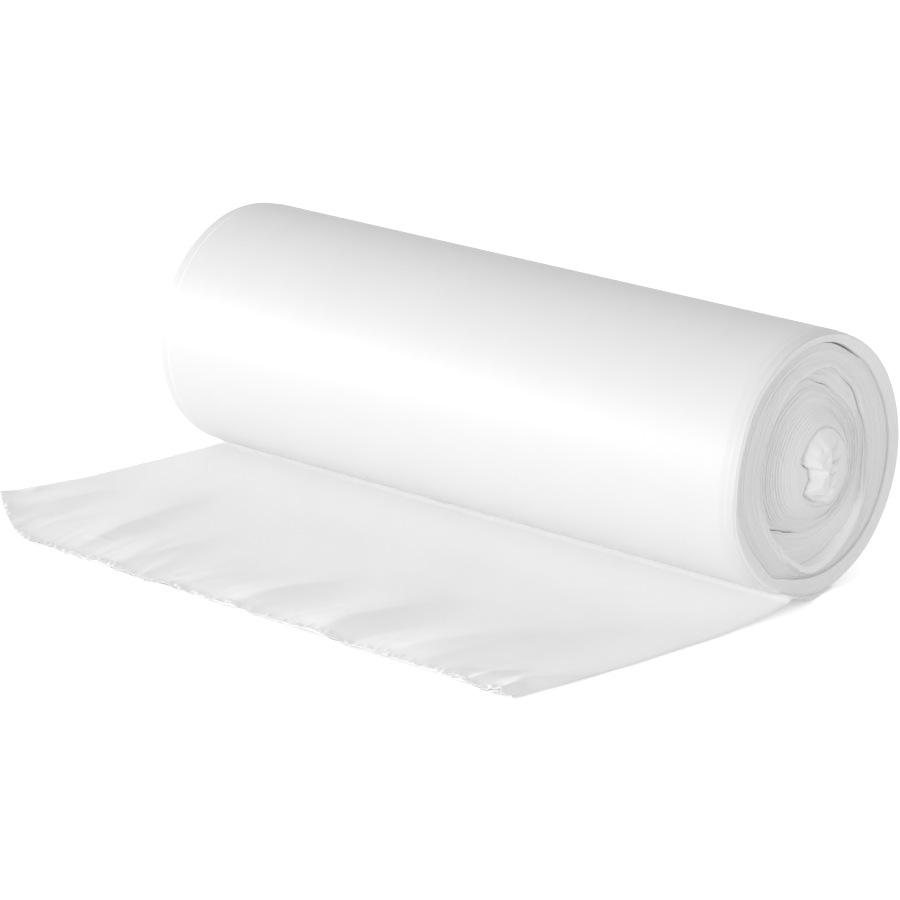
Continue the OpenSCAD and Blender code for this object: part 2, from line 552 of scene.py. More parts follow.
@dataclass
class InnerTurns:
    """The turns between the wrap and the heart, as one wound strip."""

    roll: Roll
    wrap: OuterWrap
    steps: int = 88
    sharp: float = 60
    # The share of its room that a turn's edge fills, and how far in the turns touch
    fill: float = 0.99
    clearance: float = 0.01 * MM
    hidden: float = 20 * MM
    # A turn's edge leans towards the next one, by this share of their step up to a limit
    lean_share: float = 0.45
    lean_limit: float = 0.6 * MM
    # The rounding of a turn's edge: share of its depth, share of its thickness
    groove: float = 0.035 * MM
    rounding: Table = ((0.0, 0.0), (0.12, 0.5), (0.4, 0.85), (1.0, 1.0))
    # How deep a gap goes, the width at which it does, the share of the turn that it may take,
    # and where its walls have closed, as a share of its depth
    gap_depth: float = 1.0 * MM
    gap_full: float = 0.4 * MM
    gap_limit: float = 0.85
    gap_closed: float = 1.25
    # The last turn ends in a thin edge beside the heart, at this share of its thickness
    last_share: float = 0.1
    # The turns lie in three bundles, which end at these counts of turns in from the wrap
    lip_turn: float = 12.0
    cone_turn: float = 18.0
    last_turn: float = 36.0
    # The face between the first and second bundle: direction and radius
    lip: Table = (
        (-97, 42.0 * MM),
        (-50, 36.5 * MM),
        (-3, 30.8 * MM),
        (29, 31.6 * MM),
        (57, 35.4 * MM),
        (84, 39.4 * MM),
        (112, 38.4 * MM),
        (157, 33.0 * MM),
        (198, 32.8 * MM),
        (228, 35.1 * MM),
        (246, 38.7 * MM),
    )
    # The face between the second and third bundle: direction and radius
    cone: Table = (
        (-105, 27.3 * MM),
        (-55, 26.6 * MM),
        (0, 27.6 * MM),
        (61, 28.6 * MM),
        (82, 32.3 * MM),
        (98, 35.4 * MM),
        (125, 34.4 * MM),
        (155, 31.4 * MM),
        (180, 31.2 * MM),
        (205, 31.4 * MM),
        (222, 31.6 * MM),
        (236, 28.9 * MM),
    )
    # The face of the heart: direction and radius
    heart: Table = (
        (-139, 14.6 * MM),
        (-88, 15.0 * MM),
        (-67, 16.2 * MM),
        (0, 14.4 * MM),
        (40, 15.2 * MM),
        (82, 16.8 * MM),
        (98, 16.8 * MM),
        (118, 15.6 * MM),
        (141, 14.6 * MM),
        (180, 14.0 * MM),
    )
    gaps: tuple[Gap, ...] = (
        Gap(0.0, 72, 17, 0.45 * MM),
        Gap(0.0, -110, 12, 0.12 * MM),
        Gap(5.0, 120, 40, 0.3 * MM),
        Gap(12.0, 40, 34, 0.35 * MM),
        Gap(18.0, 78, 24, 0.3 * MM),
        Gap(18.0, -124, 22, 1.5 * MM),
        Gap(26.0, -60, 40, 0.25 * MM),
    )
    # Where the turns' edges stand at the near end: turns in from the wrap, distance out
    near_steps: Table = (
        (0.0, -0.5 * MM),
        (4.0, -0.2 * MM),
        (8.6, 0.1 * MM),
        (10.9, 0.9 * MM),
        (11.6, 1.3 * MM),
        (12.0, 2.7 * MM),
        (12.4, -3.0 * MM),
        (17.0, -3.6 * MM),
        (18.4, -3.2 * MM),
        (26.0, -1.0 * MM),
        (36.0, 3.6 * MM),
    )
    # How fully the sunk turns are sunk, by direction
    sunk: Table = (
        (-150, 1.0),
        (-90, 0.9),
        (-40, 0.5),
        (20, 0.35),
        (70, 0.55),
        (120, 0.8),
        (180, 1.0),
    )
    far_steps: Table = (
        (0.0, 0.4 * MM),
        (7.0, -0.6 * MM),
        (16.0, 1.2 * MM),
        (25.0, 2.6 * MM),
        (36.0, 5.0 * MM),
    )
    # How the turns' edges wander in and out, and how their faces do beside the ends
    loose: Wander = Wander(0.30 * MM, 2.3, 11.0)
    shiver: Wander = Wander(0.015 * MM, 0.7, 5.0)
    flutter: Wander = Wander(0.01 * MM, 0.4, 21.0)
    flutter_length: float = 3 * MM

    @staticmethod
    def direction(v: float) -> float:
        """Gives a turn's direction in degrees, where the winding starts at the bottom."""
        return 360 * v - 90

    def radius(self, v: float) -> float:
        """Gives the radius of the seam outside a turn, before any gap.

        Args:
            v: Turns in from the wrap.

        Returns:
            The radius in that turn's direction.
        """
        degrees = self.direction(v)
        faces = (
            self.wrap.inner_radius(degrees),
            round_table(self.lip, degrees),
            round_table(self.cone, degrees),
            round_table(self.heart, degrees),
        )
        turns = (0.0, self.lip_turn, self.cone_turn, self.last_turn)
        bundle = 0 if v <= self.lip_turn else 1 if v <= self.cone_turn else 2
        t = (v - turns[bundle]) / (turns[bundle + 1] - turns[bundle])
        return faces[bundle] + (faces[bundle + 1] - faces[bundle]) * t

    def opening(self, v: float) -> float:
        """Gives how far the seam outside a turn stands open.

        Args:
            v: Turns in from the wrap.

        Returns:
            The width of the gap there.
        """
        width = 0.0
        for gap in self.gaps:
            first = gap.turn + (gap.angle / 360 + 0.25 - gap.turn) % 1
            width += gap.width * hump((v - first) * 360 / gap.half_span)
        return width

    def edge(self, v: float, end: End) -> float:
        """Gives the place along the roll where the strip's edge stands.

        Args:
            v: Turns in from the wrap.
            end: The end of the roll.

        Returns:
            The place of the edge on X.
        """
        table = self.near_steps if end is End.NEAR else self.far_steps
        step = along_table(table, v)
        if end is End.NEAR and step < 0:
            step *= round_table(self.sunk, self.direction(v))
        loose = self.loose.at(v, end.value) + self.shiver.at(v)
        return end.value * self.roll.width / 2 + step + loose

    def lean(self, v: float, end: End) -> float:
        """Gives how far the strip's edge leans towards the next turn.

        Args:
            v: Turns in from the wrap.
            end: The end of the roll.

        Returns:
            Half the distance on X between the outer and the inner side of the edge.
        """
        change = self.edge(v + 0.5, end) - self.edge(v - 0.5, end)
        return self.lean_share * max(-self.lean_limit, min(self.lean_limit, change))

    def profile(self, v: float) -> list[tuple[float, float, float, float]]:
        """Gives the profile of a turn's edge, which is the same at both ends.

        Args:
            v: Turns in from the wrap.

        Returns:
            For each pair of points the distance in from the edge, the share of the lean, and
            the radius of the outer and of the inner point.
        """
        outer, inner = self.radius(v), self.radius(v + 1)
        if v > self.last_turn - 1:
            heart = round_table(self.heart, self.direction(v))
            inner = heart + (outer - heart) * self.last_share
        open_by = min(self.opening(v), self.gap_limit * (outer - inner))
        middle = (outer - open_by + inner) / 2
        half = self.fill * (outer - open_by - inner) / 2
        deep = self.groove + self.gap_depth * ease(open_by / self.gap_full)
        points = []
        for inset, share in self.rounding:
            points.append((inset * self.groove, share, middle + half * share, middle - half * share))
        points.append((deep, 1.0, middle + half, middle - half))
        for inset in (deep * self.gap_closed, self.hidden):
            points.append((inset, 1.0, outer - self.clearance, inner + self.clearance))
        return points

    def section(self, v: float) -> list[Vector]:
        """Gives the strip's section, once round from the far edge.

        Args:
            v: Turns in from the wrap.

        Returns:
            The points of the section.
        """
        points = self.profile(v)
        far, near = self.edge(v, End.FAR), self.edge(v, End.NEAR)
        far_lean, near_lean = self.lean(v, End.FAR), self.lean(v, End.NEAR)
        loop = [(far + i - far_lean * lean, high) for i, lean, high, low in points]
        loop += [(near - i - near_lean * lean, high) for i, lean, high, low in reversed(points)]
        loop += [(near - i + near_lean * lean, low) for i, lean, high, low in points[1:]]
        loop += [(far + i + far_lean * lean, low) for i, lean, high, low in reversed(points[1:])]
        flutter = self.flutter.at(v)
        placed = []
        for x, r in loop:
            inset = min(x - far, near - x)
            r += flutter * ease(1 - inset / self.flutter_length)
            placed.append(self.roll.point(x, r, self.direction(v)))
        return placed

    def build(self, material: bpy.types.Material) -> bpy.types.Object:
        """Makes the strip.

        Args:
            material: The finish of the film.

        Returns:
            The piece.
        """
        rows = round(self.last_turn * self.steps)
        sections = [self.section(k / self.steps) for k in range(rows + 1)]
        count = len(sections[0])

        def place(column: int, row: int) -> Vector:
            """Gives the place of a point of the grid."""
            return sections[row][column % count].copy()

        piece = Bench.film("inner_turns", count, rows, place, tube=True, capped=True)
        Bench.finish(piece, material, self.sharp)
        return piece


@dataclass(frozen=True)
class Crease:
    """A sharp valley in the crumpled heart, from one point to another, in millimetres.

    Attributes:
        start: Its first point, as Y and height from the roll's axis.
        end: Its last point.
        depth: How deep it is in its middle.
        soft: Length of its gentle side.
        steep: Length of its steep side, as a share of the gentle one.
        half: Half its length, as a share of the distance between its points.
    """

    start: tuple[float, float]
    end: tuple[float, float]
    depth: float
    soft: float
    steep: float = 0.25
    half: float = 0.7

    def dip(self, y: float, z: float) -> float:
        """Gives how deep the valley is at a point.

        Args:
            y: The point's Y in millimetres.
            z: The point's height from the roll's axis in millimetres.

        Returns:
            The depth there in millimetres.
        """
        along = Vector(self.end) - Vector(self.start)
        length = along.length
        along /= length
        off = Vector((y, z)) - Vector(self.start)
        t = off.dot(along) / length
        if abs(t - 0.5) > self.half:
            return 0.0
        aside = off.x * along.y - off.y * along.x
        width = self.soft if aside > 0 else self.steep * self.soft
        return self.depth * hump((t - 0.5) / self.half) * max(0.0, 1 - abs(aside) / width) ** 2


@dataclass
class Heart:
    """The crumpled start of the winding, which stands out of the near end."""

    roll: Roll
    turns: InnerTurns
    spokes: int = 216
    rings: int = 52
    sharp: float = 60
    # It overlaps the innermost turn by this much
    overlap: float = 0.05 * MM
    # How far the bunch of film stands out, and how far its floor is sunk in front
    out: float = 8.6 * MM
    floor_drop: float = 1.3 * MM
    # Outline of the bunch of film that stands out: direction and radius
    outline: Table = (
        (-88, 13.4 * MM),
        (-67, 15.8 * MM),
        (-30, 14.4 * MM),
        (0, 14.2 * MM),
        (40, 15.0 * MM),
        (82, 16.4 * MM),
        (98, 16.2 * MM),
        (118, 14.9 * MM),
        (141, 13.2 * MM),
        (158, 11.4 * MM),
        (171, 6.8 * MM),
        (207, 6.6 * MM),
        (215, 10.2 * MM),
        (221, 12.4 * MM),
        (240, 12.6 * MM),
    )
    # Its side rises over this length in front, and over this much more at the back
    side: float = 6.5 * MM
    back_side: float = 5.0 * MM
    back_power: float = 1.5
    # The share of that rise that it has already made at its foot
    foot_rise: float = 0.08
    # It leans to the front: height at the back, more height in front, half its breadth
    back_height: float = 0.62
    front_height: float = 0.38
    breadth: float = 14 * MM
    # A dent runs along its foot in front: share of its height, half its width
    foot_dent: float = 0.35
    foot_half: float = 0.8 * MM
    lumps: Ripple = Ripple(0.9 * MM, 150, 150, 3.1)
    wrinkles: Ripple = Ripple(0.8 * MM, 330, 330, 8.7)
    crease_fade: float = 2 * MM
    creases: tuple[Crease, ...] = (
        Crease((0.4, -9.5), (1.4, 11.0), 3.6, 4.4),
        Crease((1.6, 7.4), (9.0, 10.2), 4.0, 2.6),
        Crease((1.2, 2.9), (8.6, 4.0), 4.2, 2.2),
        Crease((2.4, -1.8), (7.0, 0.8), 3.0, 2.0),
        Crease((2.0, -7.0), (11.0, -4.6), 2.6, 2.8),
        Crease((-5.5, -9.5), (4.0, -11.5), 2.2, 2.4),
        Crease((-6.5, 5.5), (-3.4, 9.5), 0.9, 2.0),
    )
    # The far face: depth at its rim, more depth in its middle, radius of that hollow, folds
    far_depth: float = 5.5 * MM
    far_hollow: float = 2.0 * MM
    far_radius: float = 15 * MM
    far_folds: Ripple = Ripple(1.6 * MM, 170, 170, 15.0)

    def near_face(self, r: float, degrees: float) -> float:
        """Gives how far the near face stands out of the roll.

        Args:
            r: Distance from the axis.
            degrees: Direction from the axis.

        Returns:
            The distance out from the roll's nominal end.
        """
        a = math.radians(degrees)
        y, z = r * math.cos(a), r * math.sin(a)
        front = 0.5 - 0.5 * math.cos(a)
        floor = self.turns.near_steps[-1][1] - self.floor_drop * front
        inside = round_table(self.outline, degrees) - r
        soft = self.side + self.back_side * (1 - front) ** self.back_power
        lean = self.back_height + self.front_height * (0.5 - 0.5 * y / self.breadth)
        climb = self.foot_rise + (1 - self.foot_rise) * inside / soft
        rise = ease(climb) * lean if inside > 0 else 0.0
        rise -= self.foot_dent * front * hump(inside / self.foot_half)
        lumps = self.lumps.at(y, z) + self.wrinkles.creased(y, z)
        dips = sum(crease.dip(y / MM, z / MM) for crease in self.creases) * MM
        return floor + rise * (self.out - floor + lumps) - dips * ease(inside / self.crease_fade)

    def far_face(self, r: float, degrees: float) -> float:
        """Gives how far the far face is sunk into the roll.

        Args:
            r: Distance from the axis.
            degrees: Direction from the axis.

        Returns:
            The distance in from the roll's nominal far end.
        """
        a = math.radians(degrees)
        folds = self.far_folds.creased(r * math.cos(a), r * math.sin(a))
        return self.far_depth + self.far_hollow * (1 - r / self.far_radius) - folds

    def section(self, degrees: float) -> list[Vector]:
        """Gives the heart's section in one direction, from its far middle to its near middle.

        Args:
            degrees: Direction from the axis.

        Returns:
            The points of the section.
        """
        half = self.roll.width / 2
        rim = round_table(self.turns.heart, degrees) + self.overlap
        points = []
        for k in range(self.rings // 2 + 1):
            r = rim * k / (self.rings // 2)
            points.append(self.roll.point(-half + self.far_face(r, degrees), r, degrees))
        points.append(self.roll.point(0, rim, degrees))
        for k in range(self.rings + 1):
            r = rim * (1 - k / self.rings)
            points.append(self.roll.point(half + self.near_face(r, degrees), r, degrees))
        return points

    def build(self, material: bpy.types.Material) -> bpy.types.Object:
        """Makes the heart.

        Args:
            material: The finish of the film.

        Returns:
            The piece.
        """
        sections = [self.section(360 * k / self.spokes) for k in range(self.spokes)]
        count = len(sections[0])

        def place(column: int, row: int) -> Vector:
            """Gives the place of a point of the grid."""
            return sections[row % self.spokes][column].copy()

        piece = Bench.film("heart_folds", count - 1, self.spokes, place, tube=True)
        Bench.finish(piece, material, self.sharp)
        return piece


@dataclass(frozen=True)
class Fold:
    """A fold of the loose end: sharp along its crest, steep on one side and long on the other.

    Attributes:
        start: X and Y of the crest beside the torn end, in millimetres.
        end: X and Y where it runs out towards the roll.
        width: Length of the side that faces the near end.
        rear: Length of the side that faces the far end.
        height: Height of the crest.
        narrow: Its near side's length at the start and end, as a share of the middle.
        steep: How fast its near side falls from the crest.
        runs_on: How far it runs on past its start, as a share of its length.
        top_at: Where along it the crest is highest.
    """

    start: tuple[float, float]
    end: tuple[float, float]
    width: float
    rear: float
    height: float
    narrow: float = 0.55
    steep: float = 1.9
    runs_on: float = 0.2
    top_at: float = 0.3

    def lift(self, x: float, y: float) -> float:
        """Gives the fold's height at a place.

        Args:
            x: The place's X in millimetres.
            y: The place's Y in millimetres.

        Returns:
            The height in millimetres.
        """
        (x0, y0), (x1, y1) = self.start, self.end
        length = math.hypot(x1 - x0, y1 - y0)
        ux, uy = (x1 - x0) / length, (y1 - y0) / length
        t = ((x - x0) * ux + (y - y0) * uy) / length
        if not -self.runs_on < t < 1.0:
            return 0.0
        beyond = (x - x0) * uy - (y - y0) * ux
        bulge = math.sin(math.pi * max(0.0, t))
        if beyond > 0:
            width = self.width * (self.narrow + (1 - self.narrow) * bulge)
            across = max(0.0, 1 - beyond / width) ** self.steep
        else:
            across = hump(beyond / self.rear)
        if t < self.top_at:
            rise = ease((t + self.runs_on) / (self.top_at + self.runs_on))
        else:
            rise = ease((1 - t) / (1 - self.top_at))
        return self.height * rise * across


@dataclass
class LooseEnd:
    """The unrolled end of the folded band, an open flattened tube of film."""

    roll: Roll
    columns: int = 262
    rows: int = 90
    sharp: float = 60
    # How much the columns crowd towards the sides, and the rows towards the roll and the tear
    crowd_columns: float = 0.02
    crowd_rows: float = 0.085
    # From the roll's middle to the torn end, and how far the film goes on under the roll
    length: float = 168 * MM
    under: float = 12 * MM
    # Height of one layer, its thickness as a share of that, and how far the layers lie apart
    layer: float = 0.26 * MM
    thickness: float = 0.7
    apart: float = 1.4
    clear: float = 0.4
    # The layers meet in a rounded edge of this width at both sides
    side_round: float = 1.2 * MM
    # The lower layer follows the folds less, from this far in, and the bend at the roll less
    lower_folds: float = 0.45
    lower_length: float = 22 * MM
    lower_lift: float = 0.85
    # The far corner is drawn back and lifted
    corner_back: float = 33 * MM
    corner_width: float = 52 * MM
    corner_power: float = 1.3
    corner_lift: float = 2.5 * MM
    # Where the film leaves the roll's underside, and the length in which it comes to the floor
    leaves: float = 20 * MM
    settles: float = 54 * MM
    # The film bends up to the roll that it comes off: height, length
    fillet: float = 1.0 * MM
    fillet_length: float = 2.2 * MM
    # Where the far and the near side run: millimetres in front of the roll's middle, place on X
    far_side: Table = (
        (0, -147.5 * MM),
        (20, -146.8 * MM),
        (27, -148.0 * MM),
        (36, -150.0 * MM),
        (46, -151.6 * MM),
        (68, -153.3 * MM),
        (92, -154.2 * MM),
        (114, -155.8 * MM),
        (134, -157.8 * MM),
    )
    near_side: Table = (
        (-12, 153.9 * MM),
        (-5, 154.6 * MM),
        (0, 156.2 * MM),
        (8, 159.2 * MM),
        (18, 160.6 * MM),
        (28, 160.8 * MM),
        (49, 160.6 * MM),
        (64, 161.0 * MM),
        (84, 160.6 * MM),
        (104, 160.2 * MM),
        (126, 158.9 * MM),
        (168, 155.2 * MM),
    )
    # The folds, with their places and sizes in millimetres
    folds: tuple[Fold, ...] = (
        Fold((-150, -124), (-155, -112), 4, 7, 0.6),
        Fold((-133, -140), (-127, -84), 20, 18, 1.5),
        Fold((-112, -152), (-104, -112), 14, 12, 0.8),
        Fold((-84, -149), (-101, -62), 12, 36, 2.0),
        Fold((-55, -165), (-52, -100), 11, 26, 1.5),
        Fold((-22, -168), (-12, -122), 9, 12, 0.6),
        Fold((11, -168), (22, -98), 15, 20, 2.0),
        Fold((38, -169), (46, -136), 8, 8, 0.7),
        Fold((56, -170), (66, -88), 20, 28, 3.2),
        Fold((84, -169), (90, -146), 8, 6, 0.6),
        Fold((90, -167), (140, -76), 26, 30, 4.0),
        Fold((117, -169), (128, -151), 5, 4, 1.4),
        Fold((132, -167), (139, -140), 6, 6, 2.1),
        Fold((143, -160), (161, -126), 7, 9, 1.8),
        Fold((149, -171), (147, -148), 6, 5, 2.6),
        Fold((-88, -149), (-77, -144), 3, 3, 1.2),
    )
    # Beside the tear the folds come down to this share, over this many millimetres
    low_share: float = 0.6
    low_length: float = 12
    # All of the film there stands this many millimetres off the floor
    lofted: float = 0.4
    # Fine wrinkles fan out from this X, by these slopes, and fade over these millimetres
    fan_x: float = -30
    near_slope: float = 0.22
    far_slope: float = -0.25
    fade_length: float = 75
    start_length: float = 8
    streaks: Ripple = Ripple(0.45, 0.11, 0.012, 2.0)
    fine_streaks: Ripple = Ripple(0.225, 0.27, 0.03, 5.0)
    # Broad swells begin past this share of a length in millimetres
    swells: Ripple = Ripple(0.7, 0.022, 0.03, 7.0)
    swell_length: float = 60
    swell_start: float = 0.4
    # The film lies flat beside the roll: it takes up its folds past a share of this length
    flat_length: float = 70 * MM
    flat_share: float = 0.2
    # Small crinkles beside the tear, and the length over which they fade
    crinkles: Ripple = Ripple(0.55 * MM, 420, 130, 4.0)
    puckers: Ripple = Ripple(0.5 * MM, 120, 45, 9.0)
    crinkle_length: float = 9 * MM
    # The line of the tear: its teeth, its slow wander, and where the lower layer peeks out
    teeth: Ripple = Ripple(1.1 * MM, 420, 0.0, 0.0, 2.0)
    wander: Ripple = Ripple(0.9 * MM, 60, 0.0, 0.0, 6.0)
    peeks: Ripple = Ripple(4, 32, 0.0, 0.0, 11.0)
    upper_peek: float = 0.35
    peek_size: float = 1.0 * MM
    tear_back: float = 0.7 * MM

    def corner(self, across: float) -> float:
        """Gives how far a place across belongs to the drawn-back far corner, from 0 to 1."""
        share = max(0.0, 1 - across * self.roll.width / self.corner_width)
        return share**self.corner_power

    def fold_height(self, x: float, y: float) -> float:
        """Gives the height of the folds and fine wrinkles at a place."""
        px, py = x / MM, y / MM
        inward = self.length / MM + py
        down = self.low_share + (1 - self.low_share) * ease(inward / self.low_length)
        lifts = [fold.lift(px, py) * down for fold in self.folds]
        lean = (self.near_slope if px > self.fan_x else self.far_slope) * inward
        streak = self.streaks.at(px - lean, inward) + self.fine_streaks.at(px - lean, inward)
        fine = streak * ease(1 - inward / self.fade_length) * ease(inward / self.start_length)
        broad = self.swells.at(px, py) * ease(-py / self.swell_length - self.swell_start)
        # Where folds meet, halfway between the highest of them and all of them together
        folded = 0.5 * (max(lifts) + sum(lifts))
        return (folded + fine + broad + self.lofted * down) * MM

    def crinkle(self, x: float, inward: float) -> float:
        """Gives the small crinkles beside the torn end.

        Args:
            x: Place along the roll.
            inward: Distance in from the torn end.

        Returns:
            A height to add.
        """
        height = self.crinkles.creased(x, inward) + self.puckers.creased(x, inward)
        return height * ease(1 - inward / self.crinkle_length)

    def torn_edge(self, across: float, layer: Layer) -> float:
        """Gives how far the torn edge of a layer stands back at a place across."""
        x = across * self.roll.width
        peek = ease(self.peeks.at(x)) if layer is Layer.LOWER else self.upper_peek
        back = self.teeth.creased(x) + self.wander.at(x) + self.tear_back
        return back - self.peek_size * peek

    def sides(self, y: float) -> tuple[float, float]:
        """Gives the places of the far and near sides of the loose end at a place on Y."""
        return along_table(self.far_side, -y / MM), along_table(self.near_side, -y / MM)

    def reach(self, across: float, layer: Layer) -> float:
        """Gives how far the film reaches in front of the roll's middle."""
        return self.length - self.corner_back * self.corner(across) - self.torn_edge(across, layer)

    def surface(self, x: float, y: float, across: float, inward: float) -> float:
        """Gives the height of the film over the floor.

        Args:
            x: Place along the roll.
            y: Place across the roll, less than 0 in front of its middle.
            across: The same as x, from 0 at the far side to 1 at the near side.
            inward: Distance in from the torn edge.

        Returns:
            The height of the middle of the two layers.
        """
        z = self.fold_height(x, y)
        z += self.corner_lift * self.corner(across) * ease(-2 * y / self.length - 1)
        taken_up = ease(-y / self.flat_length - self.flat_share)
        return max(0.0, z) * taken_up + self.crinkle(x, inward)

    def lift(self, x: float, y: float) -> float:
        """Gives how far the film stands off the floor where it leaves the roll.

        Args:
            x: Place along the roll.
            y: Place across the roll, less than 0 in front of its middle.

        Returns:
            The extra height.
        """
        top = self.roll.underside(x, min(-y, self.leaves)) - self.roll.tail_layer
        past = -y - self.leaves
        bend = self.fillet * min(ease(-y / self.leaves), ease(1 - past / self.fillet_length))
        return top * (1 - min(1.0, max(0.0, past / self.settles))) ** 2 + bend

    def point(self, across: float, along: float, layer: Layer) -> Vector:
        """Gives a point of the loose end.

        Args:
            across: 0 at the far side and 1 at the near side.
            along: 0 under the roll and 1 at the torn end.
            layer: The layer of film.

        Returns:
            The point.
        """
        upper = layer is Layer.UPPER
        reach = self.reach(across, layer)
        y = self.under - along * (reach + self.under)
        far, near = self.sides(y)
        x = far + across * (near - far)
        follow = 1.0 if upper else 1 - self.lower_folds * ease((reach + y) / self.lower_length)
        z = self.surface(x, y, across, reach + y) * follow
        z += self.lift(x, y) * (1.0 if upper else self.lower_lift)
        side = min(1.0, max(0.0, min(x - far, near - x)) / self.side_round)
        gap = self.layer * (0.5 + (1 if upper else -1) * 0.5 * math.sqrt(side)) * self.apart
        return Vector((x, y, z + self.layer * self.clear + gap))

    def spread(self, share: float) -> float:
        """Crowds the columns a little towards both sides."""
        return share - self.crowd_columns * math.sin(2 * math.pi * share)

    def build(self, material: bpy.types.Material) -> bpy.types.Object:
        """Makes the loose end.

        Args:
            material: The finish of the film.

        Returns:
            The piece.
        """
        def place(column: int, row: int) -> Vector:
            """Gives the place of a point of the grid."""
            t = row / self.rows
            along = t - self.crowd_rows * math.sin(2 * math.pi * t)
            around = column % (2 * self.columns)
            if around <= self.columns:
                return self.point(self.spread(around / self.columns), along, Layer.UPPER)
            return self.point(self.spread(2 - around / self.columns), along, Layer.LOWER)

        piece = Bench.film("loose_end", 2 * self.columns, self.rows, place, tube=True)
        Bench.thicken(piece, self.layer * self.thickness)
        Bench.finish(piece, material, self.sharp)
        return piece


@dataclass
class TornFringe:
    """The stretched and crinkled film along the tear."""

    loose: LooseEnd
    columns: int = 760
    rows: int = 7
    sharp: float = 70
    width: float = 5.5 * MM
    thickness: float = 0.5
    # It ends this share of the film's width inside both sides
    margin: float = 0.004
    # It starts at this share of the distance between the layers, and this much above that
    seat: float = 0.62
    above: float = 0.12 * MM
    # Its outline: teeth, a slower wander, and how far it stands back
    teeth: Ripple = Ripple(1.5 * MM, 700, 0.0, 0.0, 31.0)
    wander: Ripple = Ripple(0.7 * MM, 230, 0.0, 0.0, 37.0)
    back: float = 0.35 * MM
    # How it shifts sideways, how it frills, and where the frills gather to tufts
    shift: Ripple = Ripple(0.35 * MM, 500, 3, 41.0)
    frills: Ripple = Ripple(1.0 * MM, 330, 1.5, 43.0)
    gathers: Ripple = Ripple(3, 40, 0.0, 0.0, 51.0)
    low_frill: float = 0.8
    tuft_frill: float = 1.3
    # The frills are highest at this share of the fringe's width and spread over this share
    frill_at: float = 0.72
    frill_half: float = 0.6

    def build(self, material: bpy.types.Material) -> bpy.types.Object:
        """Makes the fringe.

        Args:
            material: The finish of the film.

        Returns:
            The piece.
        """
        loose = self.loose

        def place(column: int, row: int) -> Vector:
            """Gives the place of a point of the grid."""
            across = self.margin + (1 - 2 * self.margin) * column / self.columns
            t = row / self.rows
            x0 = across * loose.roll.width
            teeth = self.teeth.creased(x0) - self.back + self.wander.at(x0)
            reach = loose.reach(across, Layer.UPPER)
            inward = self.width * (1 - t)
            far, near = loose.sides(inward - reach)
            x = far + across * (near - far) + self.shift.at(x0, t) * t
            y = inward - reach - teeth * t * t
            z = loose.surface(x, inward - reach, across, inward)
            z += loose.layer * (self.seat * loose.apart + loose.clear) + self.above
            frill = self.low_frill + self.tuft_frill * ease(self.gathers.at(x0) + 0.5)
            frill *= self.frills.creased(x0, t)
            z += frill * hump((t - self.frill_at) / self.frill_half)
            return Vector((x, y, max(z, self.above)))

        piece = Bench.film("torn_fringe", self.columns, self.rows, place)
        Bench.thicken(piece, loose.layer * self.thickness)
        Bench.finish(piece, material, self.sharp)
        return piece


@dataclass(frozen=True)
class HazeAndShadeGroup:
    """The group that clouds the film, streaks it and paints light and shade on faces that look along
    the roll.

    Attributes:
        detail: How fine the clouds go.
        rough: How strong their finest parts are.
        side_start: How far a face has to look along the roll to take some of the painted grey of the
            end it faces.
        side_full: How far it has to for all of it.
    """

    detail: float = 5
    rough: float = 0.6
    side_start: float = 0.45
    side_full: float = 0.75

    def build(self) -> bpy.types.NodeTree:
        """Makes the group.

        Returns:
            A shader node group with a colour and a height.
        """
        group = bpy.data.node_groups.new("film_haze_and_end_shade", "ShaderNodeTree")
        face = group.interface
        face.new_socket("Stretch", in_out="INPUT", socket_type="NodeSocketVector")
        face.new_socket("Scale", in_out="INPUT", socket_type="NodeSocketFloat")
        for name in ("Light", "Dark", "Near end painted light", "Far end painted shade"):
            face.new_socket(name, in_out="INPUT", socket_type="NodeSocketColor")
        face.new_socket("Color", in_out="OUTPUT", socket_type="NodeSocketColor")
        face.new_socket("Height", in_out="OUTPUT", socket_type="NodeSocketFloat")
        nodes, links = group.nodes, group.links
        start, end = nodes.new("NodeGroupInput"), nodes.new("NodeGroupOutput")
        where = nodes.new("ShaderNodeTexCoord")
        stretch = nodes.new("ShaderNodeVectorMath")
        stretch.operation = "MULTIPLY"
        cloud = nodes.new("ShaderNodeTexNoise")
        cloud.inputs["Detail"].default_value = self.detail
        cloud.inputs["Roughness"].default_value = self.rough
        mix = nodes.new("ShaderNodeMix")
        mix.data_type = "RGBA"
        links.new(where.outputs["Object"], stretch.inputs[0])
        links.new(start.outputs["Stretch"], stretch.inputs[1])
        links.new(stretch.outputs[0], cloud.inputs["Vector"])
        links.new(start.outputs["Scale"], cloud.inputs["Scale"])
        links.new(cloud.outputs["Fac"], mix.inputs["Factor"])
        links.new(start.outputs["Dark"], mix.inputs["A"])
        links.new(start.outputs["Light"], mix.inputs["B"])
        parts = nodes.new("ShaderNodeSeparateXYZ")
        links.new(where.outputs["Normal"], parts.inputs[0])
        colour = mix.outputs["Result"]
        # Painted light and shade by facing: a face that looks along +X takes the near end's painted
        # grey, one that looks along -X takes the far end's, by the X of its normal.
        for side, socket in ((End.NEAR, "Near end painted light"), (End.FAR, "Far end painted shade")):
            share = nodes.new("ShaderNodeMapRange")
            share.inputs["From Min"].default_value = self.side_start * side.value
            share.inputs["From Max"].default_value = self.side_full * side.value
            paint = nodes.new("ShaderNodeMix")
            paint.data_type = "RGBA"
            links.new(parts.outputs["X"], share.inputs["Value"])
            links.new(share.outputs["Result"], paint.inputs["Factor"])
            links.new(colour, paint.inputs["A"])
            links.new(start.outputs[socket], paint.inputs["B"])
            colour = paint.outputs["Result"]
        links.new(colour, end.inputs["Color"])
        links.new(cloud.outputs["Fac"], end.inputs["Height"])
        return group


